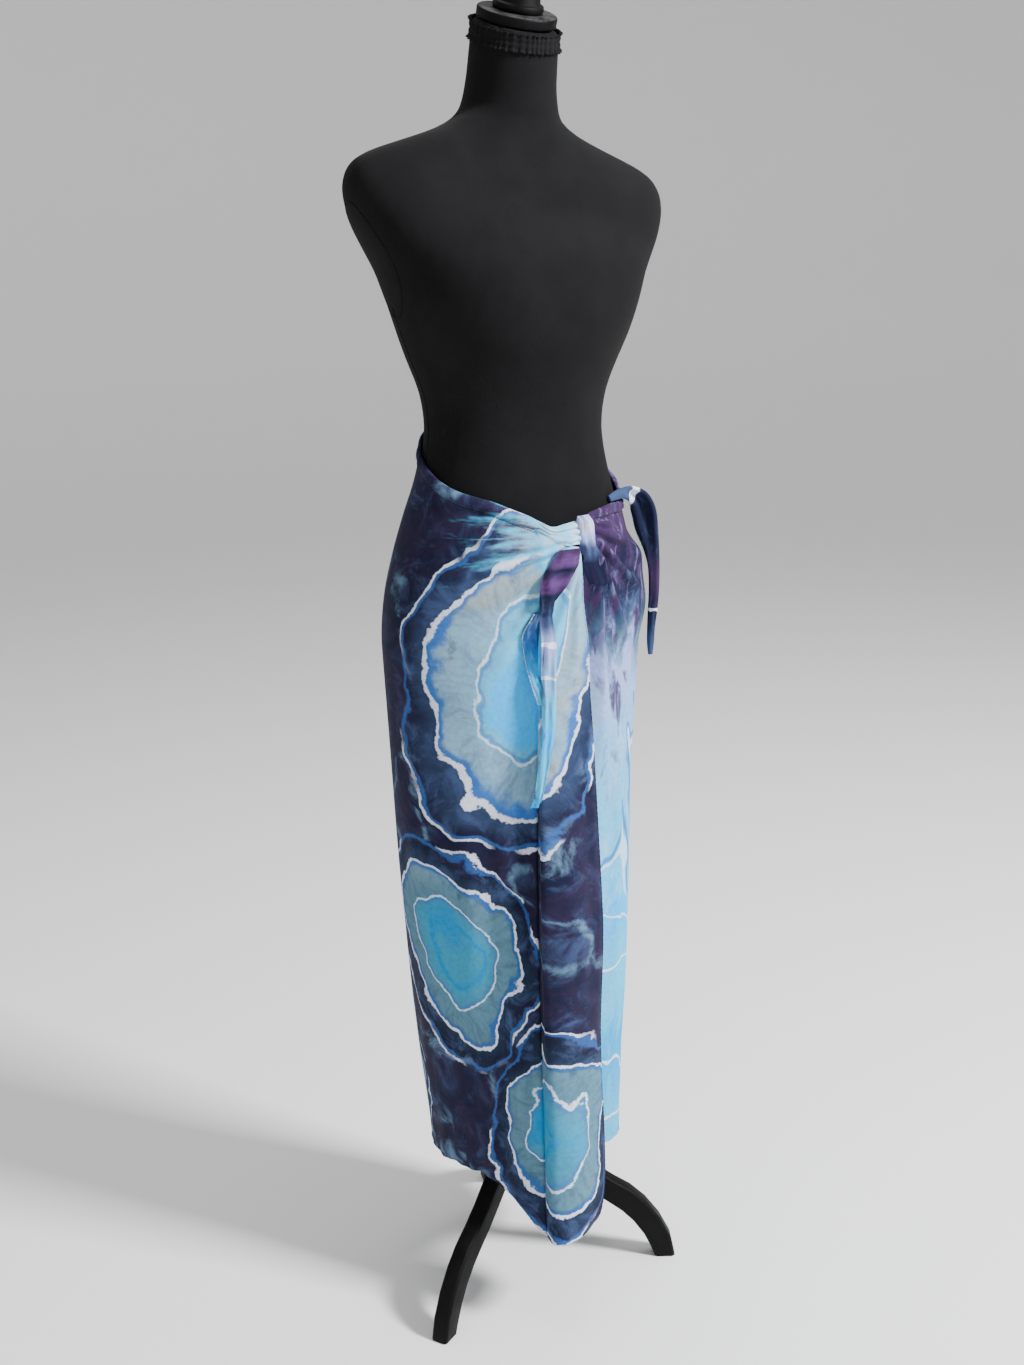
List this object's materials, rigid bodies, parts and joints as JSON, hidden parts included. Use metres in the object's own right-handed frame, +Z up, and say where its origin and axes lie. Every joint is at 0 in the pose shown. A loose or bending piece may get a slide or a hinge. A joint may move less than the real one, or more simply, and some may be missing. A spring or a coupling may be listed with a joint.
{
  "type": "knotted jersey sarong on limbless dress form with tripod stand",
  "caption": "Wrapped and knotted tie-dyed jersey sarong in navy, violet and aqua on a black limbless dress form with a wooden tripod stand",
  "frame": {"origin": "middle of the bounding box's underside, on the floor under the feet", "axes": "X points to the wearer's left, Y points to the back of the form, Z points up; the form faces minus Y"},
  "size_m": [0.413, 0.3816, 1.6763],
  "materials": {
    "sarong_jersey": "matte tie-dyed knit, navy and violet with pale blue and aqua",
    "form_jersey": "matte black stretch knit",
    "stand_wood": "black satin paint over turned wood",
    "pole_metal": "black satin enamel"
  },
  "bodies": {
    "root": {"back_wrap": "sarong_jersey", "form_body": "form_jersey", "front_lap": "sarong_jersey", "hub": "stand_wood", "knot_gather": "sarong_jersey", "knot_wrap": "sarong_jersey", "leg_back": "stand_wood", "leg_left": "stand_wood", "leg_right": "stand_wood", "neck_band": "form_jersey", "neck_cap": "stand_wood", "neck_knob": "stand_wood", "pole": "pole_metal", "tail_left": "sarong_jersey", "tail_left_fold": "sarong_jersey", "tail_right": "sarong_jersey", "top_band": "sarong_jersey", "under_lap": "sarong_jersey", "under_lap_roll": "sarong_jersey"}
  },
  "joints": []
}
